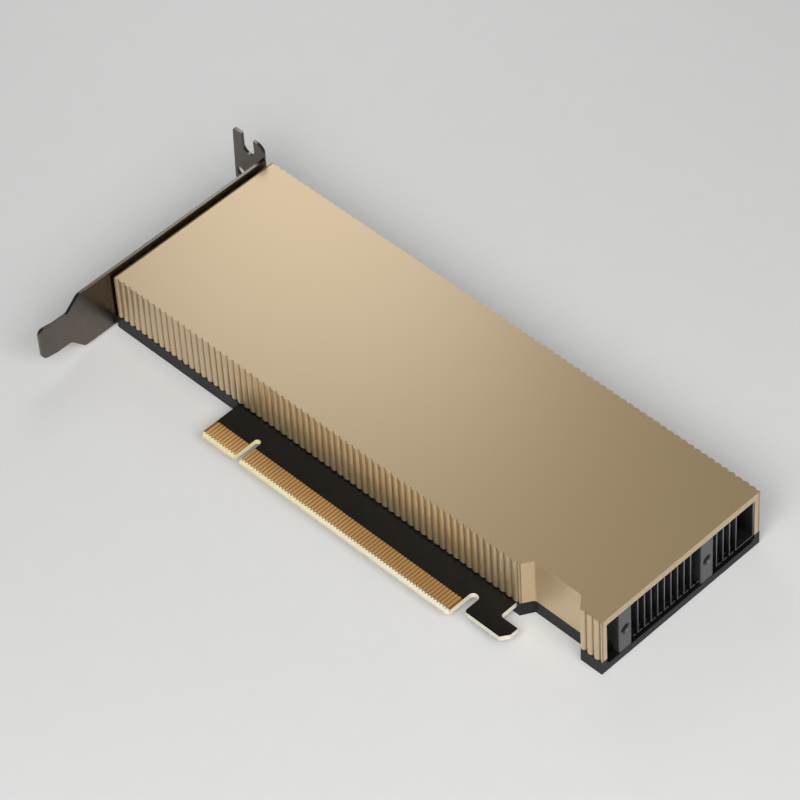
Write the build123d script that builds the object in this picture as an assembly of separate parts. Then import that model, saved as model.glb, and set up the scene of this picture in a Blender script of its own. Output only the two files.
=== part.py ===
from build123d import *
from math import atan2, floor, sqrt, tan
import os

# A low-profile, single-slot accelerator card with no fan of its own. A fluted metal cover and a
# shallow metal tray close round a circuit board, and a stack of cooling fins lies between them.
# The computer's own fans drive air in at the open tail and out through the end bracket.
#
# Sizes are in millimetres. The card is drawn with X from the cover's bracket end to its tail,
# Y from the side that plugs in to the far side, and Z up from the tray's underside.

# Cover
tail_length = 6.8
cover_width = 55.7
cover_height = 14.4
cover_wall = 1.9
cover_roof = 2.1
end_bevel_length = 0.6
end_bevel_drop = 0.25
flute_pitch = 2.2
flute_depth = 0.55
first_trough = 1.4

# Step in the cover and the tray beside the board's hook
step_after_hook = 1.13
step_length = 19.9
step_depth = 3.4
step_slope_in = 2.1
step_slope_out = 2.5
step_corner = 1.2

# Tray
tray_floor = 1.2
tray_wall = 1.8
tray_inset = 0.02
tray_edge_bevel = 0.2
tail_wall = 2.0
tail_wall_height = 2.5
tail_wall_bevel = 0.9

# Circuit board
board_thickness = 1.57
board_clearance = 1.2
board_play = 0.4
board_end_gap = 0.5
cover_gap = 0.55
mouth_gap = 0.3

# Edge connector
key_place = 56.77
key_width = 1.9
key_depth = 8.25
tongue_1_length = 11.65
tongue_2_length = 71.65
tongue_reach = 13.2
tongue_corner = 0.7
tongue_bevel = 1.1
tongue_bevel_depth = 0.45
contact_pitch = 1.0
contact_width = 0.7
contact_length = 4.45
contact_thickness = 0.04
contact_end_gap = 1.15
contact_key_distance = 1.5
contact_counts = (11, 71)

# Hook beside the edge connector
latch_slot_width = 2.7
latch_slot_depth = 8.9
hook_neck = 7.3
hook_foot = 13.1
hook_reach = 10.1
hook_foot_width = 4.8
hook_bevel_run = 1.5
hook_bevel_rise = 2.2
hook_corner = 0.4
hook_heel = 0.9

# End bracket
bracket_thickness = 0.86
bracket_gap = 0.8
bracket_length = 79.2
bracket_width = 18.42
bracket_low = 1.85
tab_length = 9.14
shoulder_run = 4.2
tab_width = 10.19
tab_low = 6.4
tab_corner = 1.7
tab_bend_length = 4.8
tab_bend_out = 0.7
shoulder_corner = 1.5
bend_radius = 0.8
vent_across = 3.4
vent_pitch = 4.1
vent_rows = 3
vent_columns = 11
vent_height = 11.2
lug_width = 8.0
lug_length = 7.6
lug_places = (12.0, 43.7)
lug_hole = 3.6

# Ear of the bracket
ear_place = 54.86
ear_depth = 11.43
ear_width = 18.42
ear_low = 6.0
ear_corner = 0.9
ear_shoulder = 3.4
ear_taper = 0.7
ear_notch_width = 4.42
ear_notch_place = 5.35
ear_notch_depth = 6.15
ear_hole_radius = 1.6
ear_hole_edge = 2.4
ear_hole_height = 3.5

# Heat sink
sink_start = 16.0
sink_tail = 27.0
sink_side_gap = 0.5
sink_thickness = 2.5
sink_height = 2.4
sink_boss_radius = 2.6
sink_thread_roof = 0.7

# Fins
fin_pitch = 2.3
fin_thickness = 0.3
fin_shift = -0.15
fin_foot = 0.35
fin_start = 12.0
fin_low_length = 11.0
fin_tail_gap = 0.15
fin_roof_gap = 0.15
fin_board_gap = 0.3
fin_post_gap = 1.0
fin_post_shift = -0.4
fin_slit_width = 0.6
fin_slit_length = 1.2
side_plate_length = 22.9
side_plate_thickness = 0.5
side_plate_gap = 0.1

# Rear posts
post_width = 4.3
post_depth = 8.3
post_inset = 0.1
post_places = (8.45, 37.05)
post_hole_height = 5.8
post_hole_length = 7.0
post_hole_radius = 1.25
post_mouth = 0.35
post_edge = 0.3
post_screw_inset = 3.2
post_screw_depth = 3.8

# Screws
screw_radius = 1.25
pan_head_radius = 2.2
pan_head_height = 0.9
flat_head_radius = 2.1
flat_head_height = 0.85
head_sunk = 0.05
recess_length = 1.9
recess_width = 0.45
recess_depth = 0.5
thread_clearance = 0.02
hole_clearance = 0.15
tip_gap = 0.3
standoff_radius = 2.7
cover_screw_front = 10.0
cover_screw_tail = 33.0
cover_screw_inset = 4.9
cover_screw_depth = 5.5
cover_boss_radius = 2.4
cover_web = 2.0
bracket_screw_tip = 0.9

# Main chip
chip_x = 84.0
package_size = 32.0
package_thickness = 1.1
stiffener_width = 2.6
stiffener_thickness = 0.5
die_length = 21.0
die_width = 16.0
die_thickness = 0.75
paste_thickness = 0.1
pedestal_margin = 1.0
sink_screw_gap = 0.9
sink_screw_y = 14.0

# Memory chips
memory_length = 14.0
memory_width = 12.0
memory_thickness = 1.1
memory_gap = 0.6
memory_pitch = 13.4
memory_rows = 3
pad_inset = 0.8

# Power supply parts
coil_size = 6.6
coil_height = 2.1
coil_edge = 0.5
coil_pitch = 7.95
coil_count = 5
stage_length = 5.0
stage_width = 6.0
stage_height = 0.9
stage_gap = 0.8
stage_memory_gap = 1.3
bulk_length = 4.3
bulk_width = 7.0
bulk_height = 1.9
bulk_gap = 1.2

# Small parts of the board, each as length, width and height
small_part_gap = 3.3
flash_size = (8.0, 6.0, 1.0)
flash_offset = -11.9
controller_size = (7.0, 7.0, 0.9)
clock_size = (3.2, 2.5, 0.7)
clock_offset = 12.0
filter_size = (1.6, 0.8, 0.8)
filter_pitch = 2.6
filter_rows = 3
filter_columns = 4
coupling_size = (0.6, 1.0, 0.3)
coupling_pitch = 2.4
coupling_count = 8
coupling_gap = 2.0
sheet_thickness = 0.2
sheet_margin = 0.8

# Levels and places that follow from the sizes above
tongue_start = key_place - key_width / 2 - tongue_1_length
tongue_end = key_place + key_width / 2 + tongue_2_length
hook_start = tongue_end + latch_slot_width
hook_upper = hook_foot_width - hook_reach
neck_end = hook_start + hook_neck
step_start = neck_end + step_after_hook
step_end = step_start + step_length
cover_length = step_end + tail_length
board_under = tray_floor + board_clearance
board_top = board_under + board_thickness
cover_low = board_top + cover_gap
cover_top = cover_low + cover_height
roof_under = cover_top - cover_roof
sink_low = board_top + sink_height
sink_top = sink_low + sink_thickness
fin_top = roof_under - fin_roof_gap
fin_end = cover_length - fin_tail_gap
foot_low = board_top + fin_board_gap
middle_y = cover_width / 2
bracket_inner = -bracket_gap
bracket_outer = bracket_inner - bracket_thickness
tab_tip = ear_place - bracket_length
tab_root = tab_tip + tab_length
shoulder = tab_root + shoulder_run
tray_near = tray_inset
tray_far = cover_width - tray_inset
board_near = tray_near + tray_wall + board_play
board_far = tray_far - tray_wall - board_play
board_start = bracket_inner + board_end_gap
board_tail = cover_length - tail_wall - board_play
sink_near = cover_screw_inset + cover_boss_radius + sink_side_gap
sink_far = cover_width - sink_near
post_front = cover_length - post_inset
post_back = post_front - post_depth
fin_step = cover_length - fin_low_length
fin_count = floor((sink_far - sink_near - fin_thickness) / fin_pitch) + 1
fin_middle = middle_y + fin_shift
fin_places = [fin_middle + (i - (fin_count - 1) / 2) * fin_pitch for i in range(fin_count)]
sink_end = cover_length - sink_tail
flute_radius = (flute_pitch**2 / 4 + flute_depth**2) / (2 * flute_depth)
screw_sides = (cover_screw_inset, cover_width - cover_screw_inset)
cover_screws = [(x, y) for x in (cover_screw_front, cover_length - cover_screw_tail) for y in screw_sides]
sink_screw_x = package_size / 2 + sink_screw_gap + sink_boss_radius
sink_screws = [(chip_x + i * sink_screw_x, middle_y + j * sink_screw_y) for i in (-1, 1) for j in (-1, 1)]
post_screws = [(post_back + post_screw_inset, y) for y in post_places]
bracket_screws = [(lug_hole, y) for y in lug_places]
memory_offset = sink_screw_x + sink_boss_radius + memory_gap + memory_length / 2
memory_rows_y = [middle_y + (i - (memory_rows - 1) / 2) * memory_pitch for i in range(memory_rows)]
memory_places = [(chip_x + i * memory_offset, y) for i in (-1, 1) for y in memory_rows_y]
stage_x = chip_x - memory_offset - memory_length / 2 - stage_memory_gap - stage_length / 2
coil_x = stage_x - stage_length / 2 - stage_gap - coil_size / 2
bulk_x = coil_x - coil_size / 2 - bulk_gap - bulk_length / 2
coil_rows = [middle_y + (i - (coil_count - 1) / 2) * coil_pitch for i in range(coil_count)]
stage_places = [(stage_x, y) for y in coil_rows]
small_x = chip_x + memory_offset + memory_length / 2 + small_part_gap + flash_size[0] / 2
coupling_y = middle_y - package_size / 2 - coupling_gap - coupling_size[1] / 2


def block(x0, x1, y0, y1, z0, z1):
    return Pos((x0 + x1) / 2, (y0 + y1) / 2, (z0 + z1) / 2) * Box(x1 - x0, y1 - y0, z1 - z0)


def rod(x, y, z0, z1, radius):
    return Pos(x, y, (z0 + z1) / 2) * Cylinder(radius, z1 - z0)


def upright(face, z0, z1):
    """A flat outline drawn out upwards."""
    return Pos(0, 0, z0) * extrude(face, amount=z1 - z0, dir=(0, 0, 1))


def plate(points, z0, z1):
    return upright(make_face(Polyline(*points, close=True)), z0, z1)


def rail(points, x0, x1):
    """A bar along X with its outline across given in Y and Z."""
    face = make_face(Polyline(*[(0, y, z) for y, z in points], close=True))
    return Pos(x0, 0, 0) * extrude(face, amount=x1 - x0, dir=(1, 0, 0))


def slab(points, y0, y1):
    """A plate standing along X with its outline given in X and Z."""
    face = make_face(Polyline(*[(x, 0, z) for x, z in points], close=True))
    return Pos(0, y0, 0) * extrude(face, amount=y1 - y0, dir=(0, 1, 0))


def chip(place, size, low):
    x, y = place
    length, width, height = size
    return block(x - length / 2, x + length / 2, y - width / 2, y + width / 2, low, low + height)


def group(pieces):
    return Compound([solid for piece in pieces for solid in piece.solids()])


def rounded(body, axis, spots, radius):
    """Round the straight edges along one axis that pass nearest to the given spots."""
    edges = []
    for spot in spots:
        edges.append(body.edges().filter_by(axis).sort_by_distance(spot)[0])
    return fillet(edges, radius)


def cross(x, y, z0, z1):
    """The cross recess of a screw head."""
    half, narrow = recess_length / 2, recess_width / 2
    arm = block(x - half, x + half, y - narrow, y + narrow, z0, z1)
    return arm + block(x - narrow, x + narrow, y - half, y + half, z0, z1)


def flute_dip(x):
    """How far the fluted side lies behind its crests at x."""
    across = (x - first_trough) % flute_pitch - flute_pitch / 2
    return flute_radius - sqrt(flute_radius**2 - across**2)


def flutes(x0, x1, side):
    """Arcs of the rounded ribs from x0 to x1, where side turns a dip into a place in Y."""
    count = floor((x1 - first_trough) / flute_pitch) + 1
    troughs = [first_trough + i * flute_pitch for i in range(count)]
    hair = 0.001
    marks = [x0] + [x for x in troughs if x0 + hair < x < x1 - hair] + [x1]
    edges = []
    for a, b in zip(marks, marks[1:]):
        middle = (a + b) / 2
        start = (a, side(flute_dip(a + hair * hair)))
        end = (b, side(flute_dip(b - hair * hair)))
        edges.append(Edge.make_three_point_arc(start, (middle, side(flute_dip(middle))), end))
    return edges


def step_points(depth):
    """Corners of the step's outline at one depth behind the card's outer face."""
    back_in = depth * tan(atan2(step_depth, step_slope_in) / 2)
    back_out = depth * tan(atan2(step_depth, step_slope_out) / 2)
    return [
        (step_start - back_in, depth),
        (step_start + step_slope_in - back_in, depth + step_depth),
        (step_end - step_slope_out + back_out, depth + step_depth),
        (step_end + back_out, depth),
    ]


def shell_points(depth, x0, x1):
    """The card's outline seen from above at one depth behind its long sides."""
    far = cover_width - depth
    return [(x0, far), (x0, depth), *step_points(depth), (x1, depth), (x1, far)]


def cover_outline():
    """The cover seen from above: fluted long sides, plain ends and the step."""
    near = flutes(0, step_start, lambda dip: dip)
    near_tail = flutes(step_end, cover_length, lambda dip: dip)
    far = flutes(0, cover_length, lambda dip: cover_width - dip)
    corners = [near[-1] @ 1, *step_points(0)[1:3], near_tail[0] @ 0]
    step = [Edge.make_line(a, b) for a, b in zip(corners, corners[1:])]
    ends = [Edge.make_line(near_tail[-1] @ 1, far[-1] @ 1), Edge.make_line(near[0] @ 0, far[0] @ 0)]
    outline = Face(Wire(near + step + near_tail + ends + far))
    inner = [v for v in outline.vertices() if abs(v.Y - step_depth) < flute_depth]
    return outline.fillet_2d(step_corner, inner)


def make_cover():
    body = upright(cover_outline(), cover_low, cover_top)
    body -= plate(shell_points(cover_wall, -1, cover_length + 1), cover_low - 1, roof_under)
    wedge = [(0, cover_top - end_bevel_drop), (end_bevel_length, cover_top), (0, cover_top)]
    body -= slab(wedge, 0, cover_width)
    for x, y in cover_screws:
        wall = cover_wall / 2 if y < middle_y else cover_width - cover_wall / 2
        web = block(x - cover_web / 2, x + cover_web / 2, min(y, wall), max(y, wall), cover_low, roof_under)
        body += rod(x, y, board_top, roof_under + cover_roof / 2, cover_boss_radius) + web
        hole_top = board_top + cover_screw_depth + tip_gap
        body -= rod(x, y, board_top, hole_top, screw_radius + thread_clearance)
    return body


def screw_seat(x, y):
    """The sunk seat of a flat screw head and its hole, cut upwards through the tray's floor."""
    hole = screw_radius + hole_clearance
    head = flat_head_radius + hole_clearance
    seat = Pos(x, y, (head_sunk + flat_head_height) / 2) * Cone(head, hole, flat_head_height - head_sunk)
    return seat + rod(x, y, -1, head_sunk, head) + rod(x, y, 0, board_under + 1, hole)


def make_tray():
    body = plate(shell_points(tray_inset, bracket_inner, cover_length), 0, cover_low)
    rim = [e for e in body.edges().group_by(Axis.Z)[0] if e.center().X > bracket_inner + 1]
    body = chamfer(rim, tray_edge_bevel)
    inner = cover_length - tail_wall
    wall_near, wall_far = tray_near + tray_wall, tray_far - tray_wall
    body -= plate(shell_points(tray_near + tray_wall, bracket_inner - 1, inner), tray_floor, cover_low + 1)
    bevel = tail_wall_bevel
    mouth = [(wall_near + bevel, tail_wall_height), (wall_far - bevel, tail_wall_height)]
    mouth += [(wall_far, tail_wall_height + bevel), (wall_far, cover_low + 1)]
    mouth += [(wall_near, cover_low + 1), (wall_near, tail_wall_height + bevel)]
    body -= rail(mouth, inner - 0.5, cover_length + 1)
    low = board_under - mouth_gap
    body -= block(tongue_start - board_play, neck_end + board_play, -1, wall_near, low, cover_low + 1)
    for x, y in cover_screws + post_screws:
        body += rod(x, y, tray_floor / 2, board_under, standoff_radius)
        body -= screw_seat(x, y)
    for x, y in bracket_screws:
        body += rod(x, y, tray_floor / 2, board_under, standoff_radius)
        body -= rod(x, y, bracket_screw_tip - tip_gap, board_under, screw_radius + thread_clearance)
    return body


def make_sheet():
    """The insulating film on the tray's floor, between the rows of standoffs."""
    margin = standoff_radius + sheet_margin
    start, end = lug_hole + margin, post_back + post_screw_inset - margin
    near, far = cover_screw_inset + margin, cover_width - cover_screw_inset - margin
    return block(start, end, near, far, tray_floor, tray_floor + sheet_thickness)


def make_tongue():
    """The part of the board outside the tray: the edge connector and the hook."""
    root, foot, corner = board_near + 1, -tongue_reach, tongue_corner
    slot_top = latch_slot_depth - tongue_reach
    points = [(tongue_start, root), (tongue_start, foot + corner), (tongue_start + corner, foot)]
    points += [(tongue_end - corner, foot), (tongue_end, foot + corner), (tongue_end, slot_top)]
    points += [(hook_start, slot_top), (hook_start, -hook_reach)]
    hook_end = hook_start + hook_foot
    points += [(hook_end - hook_bevel_run, -hook_reach), (hook_end, hook_bevel_rise - hook_reach)]
    points += [(hook_end, hook_upper)]
    points += [(neck_end, hook_upper), (neck_end, root)]
    body = plate(points, board_under, board_top)
    slot_round = latch_slot_width / 2 - 0.1
    for spots, radius in (
        ([(tongue_end, slot_top), (hook_start, slot_top)], slot_round),
        ([(hook_end, hook_upper)], hook_corner),
        ([(hook_start, -hook_reach), (neck_end, hook_upper)], hook_heel),
    ):
        body = rounded(body, Axis.Z, [(x, y, board_top) for x, y in spots], radius)
    apex = key_depth - tongue_reach - key_width / 2
    near, far = key_place - key_width / 2, key_place + key_width / 2
    body -= block(near, far, foot - 1, apex, board_under, board_top)
    body -= rod(key_place, apex, board_under, board_top, key_width / 2)
    for level, drop in ((board_top, -tongue_bevel_depth), (board_under, tongue_bevel_depth)):
        out, rise = -tongue_reach - 1, drop / tongue_bevel
        wedge = [(foot + tongue_bevel, level), (foot + tongue_bevel, level - drop)]
        wedge += [(out, level - drop), (out, level + drop + rise)]
        body -= rail(wedge, tongue_start - 1, tongue_end + 1)
    return body


def make_board():
    body = plate(shell_points(board_near, board_start, board_tail), board_under, board_top)
    body += make_tongue()
    for x, y in cover_screws + sink_screws + post_screws + bracket_screws:
        body -= rod(x, y, board_under, board_top, screw_radius + hole_clearance)
    return body


def make_contacts(low):
    """The gold fingers on one side of the edge connector."""
    foot = contact_end_gap - tongue_reach
    pads = []
    for side, count in zip((-1, 1), contact_counts):
        for i in range(count):
            x = key_place + side * (contact_key_distance + i * contact_pitch)
            left, right = x - contact_width / 2, x + contact_width / 2
            pads.append(block(left, right, foot, foot + contact_length, low, low + contact_thickness))
    return group(pads)


def make_ear():
    """The plate at the bracket's end, with the open notch for the computer's own screw."""
    left, right, top = bracket_outer - ear_depth, bracket_inner, ear_low + ear_width
    near, far = ear_place - bracket_thickness, ear_place
    body = slab([(left, ear_low), (right, ear_low), (right, top), (left + ear_taper, top)], near, far)
    body = rounded(body, Axis.Y, [(left, far, ear_low), (left + ear_taper, far, top)], ear_corner)
    body = rounded(body, Axis.Y, [(right, far, top)], ear_shoulder)
    radius = ear_notch_width / 2
    x, z = bracket_outer - ear_notch_place, top - ear_notch_depth + radius
    middle = (near + far) / 2
    body -= block(x - radius, x + radius, near, far, z, top + 1)
    body -= Pos(x, middle, z) * Rot(90, 0, 0) * Cylinder(radius, bracket_thickness)
    hole = Pos(left + ear_hole_edge, middle, ear_low + ear_hole_height) * Rot(90, 0, 0)
    return body - hole * Cylinder(ear_hole_radius, bracket_thickness)


def make_vents():
    """Six-sided air holes in staggered rows."""
    holes = []
    middle = Plane((bracket_outer, middle_y, vent_height), x_dir=(0, 1, 0), z_dir=(1, 0, 0))
    cell = RegularPolygon(vent_across / 2, 6, major_radius=False)
    for row in range(vent_rows):
        up = (row - (vent_rows - 1) / 2) * vent_pitch * sqrt(3) / 2
        shift = vent_pitch / 4 if row % 2 else -vent_pitch / 4
        for column in range(vent_columns):
            across = (column - (vent_columns - 1) / 2) * vent_pitch + shift
            face = middle * Pos(across, up) * Rot(0, 0, 30) * cell
            holes += extrude(face, amount=bracket_thickness, dir=(1, 0, 0)).solids()
    return holes


def make_bracket():
    low, top, end = bracket_low, bracket_low + bracket_width, ear_place
    tab_top = tab_low + tab_width
    points = [(end, low), (end, top), (shoulder, top), (tab_root, tab_top), (tab_tip, tab_top)]
    points += [(tab_tip, tab_low), (tab_root, tab_low), (shoulder, low)]
    body = rail(points, bracket_outer - tab_bend_out, bracket_inner)
    x = bracket_inner
    body = rounded(body, Axis.X, [(x, tab_tip, tab_top), (x, tab_tip, tab_low)], tab_corner)
    spots = [(x, shoulder, top), (x, shoulder, low), (x, tab_root, tab_top), (x, tab_root, tab_low)]
    body = rounded(body, Axis.X, spots, shoulder_corner)
    bend = tab_tip + tab_bend_length
    bent = [(bracket_inner, end), (bracket_inner, bend), (bracket_inner - tab_bend_out, tab_tip)]
    bent += [(bracket_outer - tab_bend_out, tab_tip), (bracket_outer, bend), (bracket_outer, end)]
    body &= plate(bent, low, top)
    body = body + make_ear()
    bend_x, bend_y = bracket_inner - bend_radius, ear_place - bend_radius
    outside = block(bend_x, bracket_inner, bend_y, ear_place, low, ear_low + ear_width)
    body -= outside - rod(bend_x, bend_y, low, ear_low + ear_width, bend_radius)
    body -= make_vents()
    for screw_x, y in bracket_screws:
        near, far = y - lug_width / 2, y + lug_width / 2
        body += block(bracket_outer, lug_length, near, far, board_top, board_top + bracket_thickness)
        body -= rod(screw_x, y, board_top, board_top + bracket_thickness, screw_radius + hole_clearance)
    return body


def make_sink():
    """The heat sink's base, which presses on the main chip and on the pads."""
    body = block(sink_start, sink_end, sink_near, sink_far, sink_low, sink_top)
    seat = board_top + package_thickness + die_thickness + paste_thickness
    length, width = die_length + 2 * pedestal_margin, die_width + 2 * pedestal_margin
    body += chip((chip_x, middle_y), (length, width, sink_low - seat), seat)
    for x, y in sink_screws:
        body += rod(x, y, board_top, sink_low, sink_boss_radius)
        body -= rod(x, y, board_top, sink_top - sink_thread_roof, screw_radius + thread_clearance)
    return body


def make_fins():
    """The stack of fins, standing on two foot sheets, one on the heat sink and one at the tail."""
    low, top, half = foot_low, fin_top, fin_thickness / 2
    first, last = fin_places[0] - half, fin_places[-1] + half
    side = cover_width - cover_wall - side_plate_gap
    body = block(fin_start, fin_step + fin_foot, first, last, sink_top, sink_top + fin_foot)
    body += block(fin_step, fin_end, first, side, low, low + fin_foot)
    cut_back, reach = post_back - fin_post_gap, post_width / 2 + fin_post_gap + half
    cut_places = [y + fin_post_shift for y in post_places]
    for y in fin_places:
        beside = any(abs(y - place) < reach for place in cut_places)
        end = cut_back if beside else fin_end
        points = [(fin_start, sink_top), (fin_step, sink_top), (fin_step, low), (end, low)]
        points += [(end, top), (fin_start, top)]
        body += slab(points, y - half, y + half)
        slit = y - half - fin_slit_width
        body -= block(fin_end - fin_slit_length, fin_end, slit, y - half, low, low + fin_foot)
    notch = post_width / 2 + fin_post_gap / 2
    for y in post_places:
        body -= block(cut_back, fin_end, y - notch, y + notch, low, low + fin_foot)
    return body + block(fin_end - side_plate_length, fin_end, side - side_plate_thickness, side, low, top)


def make_post(y):
    """A rear post that takes one screw from the tail."""
    near, far = y - post_width / 2, y + post_width / 2
    body = block(post_back, post_front, near, far, board_top, roof_under)
    body += block(board_tail + board_play / 2, post_front, near, far, tail_wall_height, board_top)
    body = chamfer(body.faces().sort_by(Axis.X)[-1].edges().filter_by(Axis.Z), post_edge)
    height = board_top + post_hole_height
    body -= Pos(post_front - post_hole_length / 2, y, height) * Rot(0, 90, 0) * Cylinder(
        post_hole_radius, post_hole_length
    )
    mouth = Cone(post_hole_radius, post_hole_radius + post_mouth, post_mouth)
    body -= Pos(post_front - post_mouth / 2, y, height) * Rot(0, 90, 0) * mouth
    x = post_back + post_screw_inset
    hole_top = board_top + post_screw_depth + tip_gap
    return body - rod(x, y, board_top, hole_top, screw_radius + thread_clearance)


def pan_screw(x, y, seat, tip):
    """A screw with a low round head on its seat; the tip lies above or below the seat."""
    out = seat - pan_head_height if tip > seat else seat + pan_head_height
    body = rod(x, y, min(seat, out), max(seat, out), pan_head_radius)
    return body + rod(x, y, min(seat, tip), max(seat, tip), screw_radius)


def flat_screw(x, y, tip):
    """A screw with a sunk flat head in the tray's underside."""
    length = flat_head_height - head_sunk
    body = Pos(x, y, head_sunk + length / 2) * Cone(flat_head_radius, screw_radius, length)
    body += rod(x, y, flat_head_height, tip, screw_radius)
    return body - cross(x, y, head_sunk, head_sunk + recess_depth)


def make_stiffener():
    """The metal frame on the main chip's package."""
    low = board_top + package_thickness
    outer = chip((chip_x, middle_y), (package_size, package_size, stiffener_thickness), low)
    inside = package_size - 2 * stiffener_width
    return outer - chip((chip_x, middle_y), (inside, inside, stiffener_thickness), low)


def make_coils():
    coils = []
    for y in coil_rows:
        coil = chip((coil_x, y), (coil_size, coil_size, coil_height), board_top)
        coils.append(chamfer(coil.edges().filter_by(Axis.Z), coil_edge))
    return group(coils)


def make_filters():
    """Small capacitors on the board's underside behind the main chip."""
    low = board_under - filter_size[2]
    parts = []
    for i in range(filter_columns):
        for j in range(filter_rows):
            x = chip_x + (i - (filter_columns - 1) / 2) * filter_pitch
            y = middle_y + (j - (filter_rows - 1) / 2) * filter_pitch
            parts.append(chip((x, y), filter_size, low))
    return group(parts)


def make_couplings():
    """The row of small capacitors between the main chip and the edge connector."""
    places = [chip_x + (i - (coupling_count - 1) / 2) * coupling_pitch for i in range(coupling_count)]
    return group([chip((x, coupling_y), coupling_size, board_top) for x in places])


def make_pads(places, size, height):
    """Soft thermal pads that fill the space from the parts' tops to the heat sink."""
    length, width = size[0] - 2 * pad_inset, size[1] - 2 * pad_inset
    low = board_top + height
    return group([chip(place, (length, width, sink_low - low), low) for place in places])


package_top = board_top + package_thickness
die_top = package_top + die_thickness
memory_size = (memory_length, memory_width, memory_thickness)
stage_size = (stage_length, stage_width, stage_height)
bulk_size = (bulk_length, bulk_width, bulk_height)
main_place = (chip_x, middle_y)
paste_size = (die_length, die_width, paste_thickness)
near_post, far_post = post_places

nodes = {
    "cover": make_cover(),
    "tray": make_tray(),
    "bracket": make_bracket(),
    "circuit_board": make_board(),
    "contacts_top": make_contacts(board_top),
    "contacts_bottom": make_contacts(board_under - contact_thickness),
    "heatsink_base": make_sink(),
    "fin_stack": make_fins(),
    "rear_post_near": make_post(near_post),
    "rear_post_far": make_post(far_post),
    "chip_package": chip(main_place, (package_size, package_size, package_thickness), board_top),
    "chip_stiffener": make_stiffener(),
    "chip_die": chip(main_place, (die_length, die_width, die_thickness), package_top),
    "thermal_paste": chip(main_place, paste_size, die_top),
    "memory_chips": group([chip(place, memory_size, board_top) for place in memory_places]),
    "memory_pads": make_pads(memory_places, memory_size, memory_thickness),
    "coils": make_coils(),
    "power_stages": group([chip(place, stage_size, board_top) for place in stage_places]),
    "power_pads": make_pads(stage_places, stage_size, stage_height),
    "bulk_capacitors": group([chip((bulk_x, y), bulk_size, board_top) for y in coil_rows]),
    "filter_capacitors": make_filters(),
    "coupling_capacitors": make_couplings(),
    "flash_chip": chip((small_x, middle_y + flash_offset), flash_size, board_top),
    "controller_chip": chip((small_x, middle_y), controller_size, board_top),
    "clock_crystal": chip((small_x, middle_y + clock_offset), clock_size, board_top),
    "insulating_sheet": make_sheet(),
    "bracket_screws": group([
        pan_screw(x, y, board_top + bracket_thickness, bracket_screw_tip) for x, y in bracket_screws
    ]),
    "sink_screws": group([
        pan_screw(x, y, board_under, sink_top - sink_thread_roof - tip_gap) for x, y in sink_screws
    ]),
    "cover_screws": group([flat_screw(x, y, board_top + cover_screw_depth) for x, y in cover_screws]),
    "post_screws": group([flat_screw(x, y, board_top + post_screw_depth) for x, y in post_screws]),
}

# The finished card's origin is the middle of the tray's underside.
origin = Pos(-(bracket_inner + cover_length) / 2, -middle_y, 0)
os.makedirs("parts", exist_ok=True)
for name, shape in nodes.items():
    export_step(origin * shape, f"parts/{name}.step")
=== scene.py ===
import math

import bpy
from mathutils import Matrix, Vector

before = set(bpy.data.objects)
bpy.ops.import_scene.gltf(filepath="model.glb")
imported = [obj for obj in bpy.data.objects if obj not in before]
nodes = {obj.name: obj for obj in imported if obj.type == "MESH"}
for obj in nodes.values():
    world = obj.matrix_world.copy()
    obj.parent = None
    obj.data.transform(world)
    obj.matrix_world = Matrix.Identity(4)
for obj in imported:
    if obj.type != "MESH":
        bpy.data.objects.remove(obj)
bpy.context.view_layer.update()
scene = bpy.context.scene


# Small helpers for materials

noise_low = 0.3
noise_high = 0.7
gloss_low = 0.25
gloss_high = 0.75


def srgb(r, g, b):
    """A colour read as 0 to 255 screen values, as the shader's linear values."""
    out = []
    for c in (r, g, b):
        c /= 255
        out.append(c / 12.92 if c <= 0.04045 else ((c + 0.055) / 1.055) ** 2.4)
    return (*out, 1)


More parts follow.
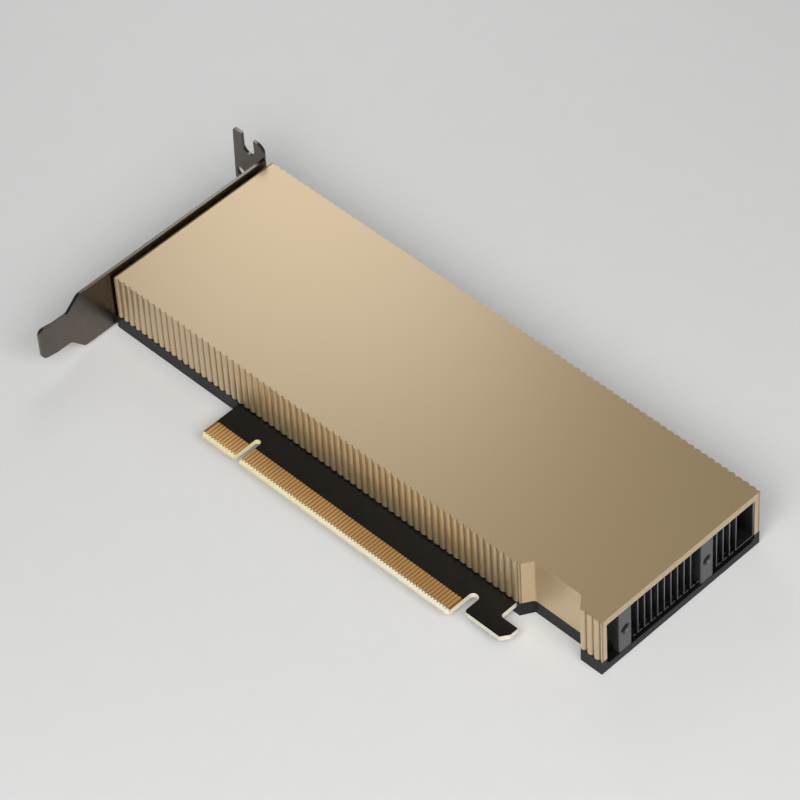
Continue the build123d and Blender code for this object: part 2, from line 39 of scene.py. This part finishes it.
class Look:
    """One material made of shader nodes, with the object's own coordinates in millimetres."""

    def __init__(self, name):
        self.material = bpy.data.materials.new(name)
        self.material.use_nodes = True
        self.tree = self.material.node_tree
        self.tree.nodes.clear()
        output = self.add("ShaderNodeOutputMaterial")
        self.shader = self.add("ShaderNodeBsdfPrincipled")
        self.link(self.shader.outputs["BSDF"], output.inputs["Surface"])
        place = self.add("ShaderNodeTexCoord").outputs["Object"]
        self.mm = self.vector("SCALE", place, scale=1000)
        split = self.add("ShaderNodeSeparateXYZ")
        self.link(self.mm, split.inputs[0])
        self.x, self.y, self.z = split.outputs
        facing = self.add("ShaderNodeSeparateXYZ")
        self.link(self.add("ShaderNodeNewGeometry").outputs["True Normal"], facing.inputs[0])
        self.nz = facing.outputs["Z"]

    def add(self, kind, **values):
        node = self.tree.nodes.new(kind)
        for key, value in values.items():
            setattr(node, key, value)
        return node

    def link(self, a, b):
        self.tree.links.new(a, b)

    def put(self, socket, value):
        if isinstance(value, bpy.types.NodeSocket):
            self.link(value, socket)
        else:
            socket.default_value = value[:3] if socket.type == "VECTOR" else value

    def set(self, **values):
        for key, value in values.items():
            self.put(self.shader.inputs[key.replace("_", " ")], value)

    def vector(self, operation, a, b=None, scale=None):
        node = self.add("ShaderNodeVectorMath", operation=operation)
        self.put(node.inputs[0], a)
        if b is not None:
            self.put(node.inputs[1], b)
        if scale is not None:
            self.put(node.inputs["Scale"], scale)
        return node.outputs[0]

    def math(self, operation, a, b=0.0):
        node = self.add("ShaderNodeMath", operation=operation)
        self.put(node.inputs[0], a)
        self.put(node.inputs[1], b)
        return node.outputs[0]

    def ramp(self, value, low, high, to_low=0.0, to_high=1.0, smooth=True):
        node = self.add("ShaderNodeMapRange")
        node.interpolation_type = "SMOOTHSTEP" if smooth else "LINEAR"
        for socket, v in zip(node.inputs[:5], (value, low, high, to_low, to_high)):
            self.put(socket, v)
        return node.outputs[0]

    def noise(self, size, detail=3.0, rough=0.55, stretch=(1, 1, 1)):
        """A cloudy pattern with spots about size millimetres wide."""
        node = self.add("ShaderNodeTexNoise")
        where = self.vector("MULTIPLY", self.mm, tuple(s / size for s in stretch))
        self.link(where, node.inputs["Vector"])
        node.inputs["Scale"].default_value = 1
        node.inputs["Detail"].default_value = detail
        node.inputs["Roughness"].default_value = rough
        return node.outputs[0]

    def mix(self, share, a, b):
        node = self.add("ShaderNodeMix", data_type="RGBA")
        self.put(node.inputs["Factor"], share)
        self.put(node.inputs["A"], a)
        self.put(node.inputs["B"], b)
        return node.outputs["Result"]

    def shade(self, colour, share):
        """A colour made lighter or darker by a grey share."""
        return self.vector("SCALE", colour, scale=share)

    def tone(self, fine, broad, spread):
        """A grey share near 1 that follows a fine and a broad pattern."""
        half = spread / 2
        return self.math("ADD", self.ramp(fine, noise_low, noise_high, -half, half, smooth=False),
                         self.ramp(broad, noise_low, noise_high, 1 - half, 1 + half))

    def roughness(self, fine, low, high):
        """Gloss that goes from low to high roughness with a fine pattern."""
        self.set(Roughness=self.ramp(fine, gloss_low, gloss_high, low, high))

    def bump(self, height, depth):
        """Relief that follows height and is depth millimetres deep."""
        node = self.add("ShaderNodeBump")
        node.inputs["Strength"].default_value = 1
        node.inputs["Distance"].default_value = depth / 1000
        self.link(height, node.inputs["Height"])
        self.link(node.outputs[0], self.shader.inputs["Normal"])

    def base_colour(self):
        return self.shader.inputs["Base Color"].links[0].from_socket


def metal(name, colour, rough=0.4, grain=0.0025, size=0.35, patch=22, metallic=1.0, spread=0.08,
          stretch=(1, 1, 1)):
    """Metal with a fine grain, a slow change of tone and a little unevenness in its gloss."""
    look = Look(name)
    fine = look.noise(size, 4, 0.6, stretch)
    broad = look.noise(patch, 2, 0.5)
    look.set(Base_Color=look.shade(colour, look.tone(fine, broad, spread)), Metallic=metallic)
    look.roughness(fine, rough - 0.04, rough + 0.05)
    look.bump(fine, grain)
    return look


def plastic(name, colour, rough=0.55, grain=0.01, size=0.25, patch=9, spread=0.12):
    """Matt or glossy plastic, paper or ceramic with a fine grain and a slow change of tone."""
    look = Look(name)
    fine = look.noise(size, 3, 0.6)
    broad = look.noise(patch, 2, 0.5)
    look.set(Base_Color=look.shade(colour, look.tone(fine, broad, spread)), Metallic=0.0)
    look.roughness(fine, rough - 0.06, rough + 0.06)
    look.bump(fine, grain)
    return look


def dress(look, *names):
    for name in names:
        mesh = nodes[name].data
        mesh.materials.clear()
        mesh.materials.append(look.material)


# Places that the looks follow, in millimetres in the part's own frame

rib_crest = 27.85
rib_depth = 0.55
rib_margin = 0.1
trough_start = 0.1
ledge_height = 4.4
fin_foot = 5
fin_top = 15
board_outside = -27.0
finger_outer = -39.9
finger_inner = -35.45
finger_phase = 0.57
bare_gap = 0.15
hook_side = 47.5
trace_middle = 14.0
trace_pitch = 1.15
trace_spread = 0.7
dot_gap = 0.2
dot_radius_squared = 0.035
glass_start = -40
glass_end = 60

# Shares of a colour that stay in the places with painted shade

painted_trough_shade = 0.4
painted_foot_shade = 0.35

# Upward parts of a face's direction that part tops from sides, and flat faces from cut edges

facing_up = 0.5
nearly_flat = 0.97


# Looks of the pieces

def cover_look():
    """Satin champagne gold metal under a thin clear layer, with painted shade that makes it darker and
    duller between the ribs.
    """
    look = Look("gold_metal")
    fine = look.noise(0.22, 4, 0.65)
    speck = look.ramp(fine, noise_low, noise_high, 0.97, 1.03, smooth=False)
    gold = look.shade(srgb(207, 180, 137), speck)
    # Painted shade: on the side faces the colour darkens and the clear layer thins from just below the rib
    # crests down into the hollows between ribs.
    depth = look.math("SUBTRACT", rib_crest, look.math("ABSOLUTE", look.y))
    ribs = look.math("LESS_THAN", depth, rib_depth + rib_margin)
    ribs = look.math("MULTIPLY", ribs, look.math("LESS_THAN", look.math("ABSOLUTE", look.nz), facing_up))
    painted_trough_shade_mask = look.math("MULTIPLY", ribs, look.ramp(depth, trough_start, rib_depth))
    look.set(Base_Color=look.mix(painted_trough_shade_mask, gold, look.shade(gold, painted_trough_shade)), Metallic=0.7)
    look.set(Coat_Weight=look.ramp(painted_trough_shade_mask, 0, 1, 1.0, 0.3), Coat_Roughness=0.3, Coat_IOR=1.7)
    look.roughness(fine, 0.44, 0.5)
    look.bump(fine, 0.004)
    return look


def tray_look():
    """Dark satin paint, with painted shade that leaves the ledge under the cover's ribs black."""
    look = metal("tray_paint", srgb(42, 42, 45), rough=0.42, metallic=0.8)
    # Painted shade: the upward faces at the tray's top, under the cover's ribs, are made near black.
    up = look.math("GREATER_THAN", look.nz, facing_up)
    ledge = look.math("MULTIPLY", up, look.math("GREATER_THAN", look.z, ledge_height))
    look.set(Base_Color=look.mix(ledge, look.base_colour(), srgb(20, 20, 21)))
    return look


def fin_look():
    """Matt aluminium, with painted shade that darkens it from the fins' tops down to their feet."""
    look = metal("sink_metal", srgb(150, 150, 152), rough=0.42)
    # Painted shade: the colour darkens from the fins' tops towards their feet.
    light = look.ramp(look.z, fin_foot, fin_top, painted_foot_shade, 1.0)
    look.set(Base_Color=look.shade(look.base_colour(), light))
    return look


def board_lacquer(look, fine):
    """Black lacquer with faint traces that fan out towards the fingers; gives its colour and the lines."""
    spread = look.ramp(look.y, finger_inner, -rib_crest, 1.0, trace_spread)
    along = look.math("DIVIDE", look.math("SUBTRACT", look.x, trace_middle), spread)
    wave = look.math("SINE", look.math("MULTIPLY", along, 2 * math.pi / trace_pitch))
    lines = look.ramp(wave, 0.1, 0.7)
    speck = look.ramp(fine, noise_low, noise_high, 0.9, 1.1)
    dark = look.shade(srgb(15, 15, 16), speck)
    return look.mix(lines, dark, look.shade(srgb(22, 22, 23), speck)), lines


def finger_dots(look):
    """The cut ends of the fingers' plating leads, as small dots just outside the fingers."""
    off = look.math("SUBTRACT", look.math("FRACT", look.math("SUBTRACT", look.x, finger_phase)), 0.5)
    away = look.math("SUBTRACT", look.y, finger_outer - dot_gap)
    span = look.math("ADD", look.math("MULTIPLY", off, off), look.math("MULTIPLY", away, away))
    up = look.math("GREATER_THAN", look.nz, facing_up)
    return look.math("MULTIPLY", look.math("LESS_THAN", span, dot_radius_squared), up)


def board_look():
    """Black lacquer over faint traces, bare laminate by the fingers and on the cut edges outside the
    cover, and painted shade that leaves the cut edges under the cover black.
    """
    look = Look("board")
    fine = look.noise(0.3, 3, 0.6)
    lacquer, lines = board_lacquer(look, fine)
    grain = look.ramp(look.noise(0.5, 3, 0.6), noise_low, noise_high, 0.92, 1.06)
    bare = look.math("LESS_THAN", look.y, finger_inner - bare_gap)
    bare = look.math("MULTIPLY", bare, look.math("LESS_THAN", look.x, hook_side))
    surface = look.mix(bare, lacquer, look.shade(srgb(132, 92, 48), grain))
    along = look.ramp(look.x, glass_start, glass_end)
    glass = look.mix(along, srgb(238, 226, 182), srgb(234, 229, 210))
    cut = look.mix(finger_dots(look), look.shade(glass, grain), srgb(120, 92, 52))
    # Painted shade: cut edges under the cover keep the black lacquer colour, and only the cut edges
    # outside it show the pale laminate.
    outside = look.math("LESS_THAN", look.y, board_outside)
    edge = look.math("LESS_THAN", look.math("ABSOLUTE", look.nz), nearly_flat)
    edge = look.math("MULTIPLY", edge, outside)
    look.set(Base_Color=look.mix(edge, surface, cut))
    look.set(Roughness=look.ramp(edge, 0, 1, 0.4, 0.6), Specular_IOR_Level=0.25)
    look.bump(look.math("ADD", fine, look.math("MULTIPLY", lines, outside)), 0.008)
    return look


dress(cover_look(), "cover")
dress(tray_look(), "tray")
dress(metal("bracket_steel", srgb(112, 105, 98), rough=0.3, stretch=(1, 1, 0.08)), "bracket")
dress(board_look(), "circuit_board")
dress(metal("gold", srgb(228, 184, 124), rough=0.38, metallic=0.8), "contacts_top", "contacts_bottom")
dress(fin_look(), "heatsink_base", "fin_stack")
dress(metal("post_metal", srgb(108, 108, 110), rough=0.4, metallic=0.8), "rear_post_near", "rear_post_far")
dress(metal("screw_steel", srgb(100, 98, 96), rough=0.32),
      "bracket_screws", "sink_screws", "cover_screws", "post_screws")
dress(plastic("package_green", srgb(38, 72, 44)), "chip_package")
dress(metal("package_metal", srgb(170, 168, 164), rough=0.35), "chip_stiffener", "clock_crystal")
dress(plastic("silicon", srgb(60, 62, 72), rough=0.2), "chip_die")
dress(plastic("paste_grey", srgb(170, 170, 172), rough=0.6), "thermal_paste")
dress(plastic("chip_black", srgb(28, 28, 29), rough=0.55),
      "memory_chips", "power_stages", "bulk_capacitors", "flash_chip", "controller_chip")
dress(plastic("pad_grey", srgb(120, 132, 146), rough=0.75), "memory_pads", "power_pads")
dress(plastic("coil_grey", srgb(70, 70, 72), rough=0.6), "coils")
dress(plastic("ceramic_tan", srgb(150, 122, 88), rough=0.4), "filter_capacitors", "coupling_capacitors")
dress(plastic("film_black", srgb(22, 22, 23), rough=0.4), "insulating_sheet")


# Floor and lights, with places and sizes in metres

floor_reach = 3.0
floor_glow = 0.08
world_glow = 0.08


def floor_look():
    """Pale matt paper, with a faint glow that only the camera and clear or glossy surfaces see."""
    look = plastic("floor_paper", srgb(216, 216, 215), rough=0.85, size=1.5, spread=0.01)
    path = look.add("ShaderNodeLightPath").outputs
    seen = look.math("MAXIMUM", path["Is Camera Ray"], path["Is Glossy Ray"])
    seen = look.math("MAXIMUM", seen, path["Is Transmission Ray"])
    look.set(Emission_Color=(1, 1, 1, 1), Emission_Strength=look.math("MULTIPLY", seen, floor_glow))
    look.set(Specular_IOR_Level=0.0)
    return look


floor_mesh = bpy.data.meshes.new("floor")
corner_signs = ((-1, -1), (1, -1), (1, 1), (-1, 1))
corners = [(x * floor_reach, y * floor_reach, 0) for x, y in corner_signs]
floor_mesh.from_pydata(corners, [], [(0, 1, 2, 3)])
floor = bpy.data.objects.new("floor", floor_mesh)
scene.collection.objects.link(floor)
floor_mesh.materials.append(floor_look().material)


def lamp(name, place, aim, size, glow):
    """A soft rectangular lamp whose face is glow times as bright as white paper in full light."""
    data = bpy.data.lights.new(name, "AREA")
    data.shape = "RECTANGLE"
    data.size, data.size_y = size
    data.energy = glow * math.pi * size[0] * size[1]
    lamp_object = bpy.data.objects.new(name, data)
    lamp_object.location = place
    turn = (Vector(aim) - Vector(place)).to_track_quat("-Z", "Y")
    lamp_object.rotation_euler = turn.to_euler()
    scene.collection.objects.link(lamp_object)


lamp("front_light", place=(0.44, -0.68, 0.80), aim=(0, 0, 0), size=(0.9, 0.7), glow=4.2)
lamp("slot_light", place=(0.20, -0.35, 0.38), aim=(0.06, -0.03, 0.01), size=(0.2, 0.2), glow=3.2)
lamp("tail_light", place=(0.80, -0.10, 0.70), aim=(0, 0, 0), size=(0.5, 0.5), glow=5.0)
lamp("top_light", place=(-0.22, 0.16, 0.22), aim=(-0.08, 0, 0.02), size=(0.14, 0.14), glow=2.4)

world = bpy.data.worlds.new("studio")
scene.world = world
world.use_nodes = True
background = world.node_tree.nodes["Background"]
background.inputs["Color"].default_value = (1, 1, 1, 1)
background.inputs["Strength"].default_value = world_glow


# Camera, fitted to the photo: its own directions in the part's frame, and its place in metres

camera_right = Vector((0.70982165, 0.70288338, -0.04591481))
camera_down = Vector((0.49585389, -0.54491775, -0.6761609))
camera_ahead = Vector((-0.50028206, 0.45718661, -0.73532188))
camera_place = Vector((0.51342709, -0.47847166, 0.77380036))

camera_data = bpy.data.cameras.new("camera")
camera = bpy.data.objects.new("camera", camera_data)
scene.collection.objects.link(camera)
scene.camera = camera
camera_turn = Matrix((camera_right, -camera_down, -camera_ahead)).transposed().to_4x4()
camera.matrix_world = Matrix.Translation(camera_place) @ camera_turn
camera_data.sensor_width = 36
camera_data.lens = 189.5518
camera_data.clip_start = 0.01
camera_data.clip_end = 20

scene.view_settings.view_transform = "Standard"
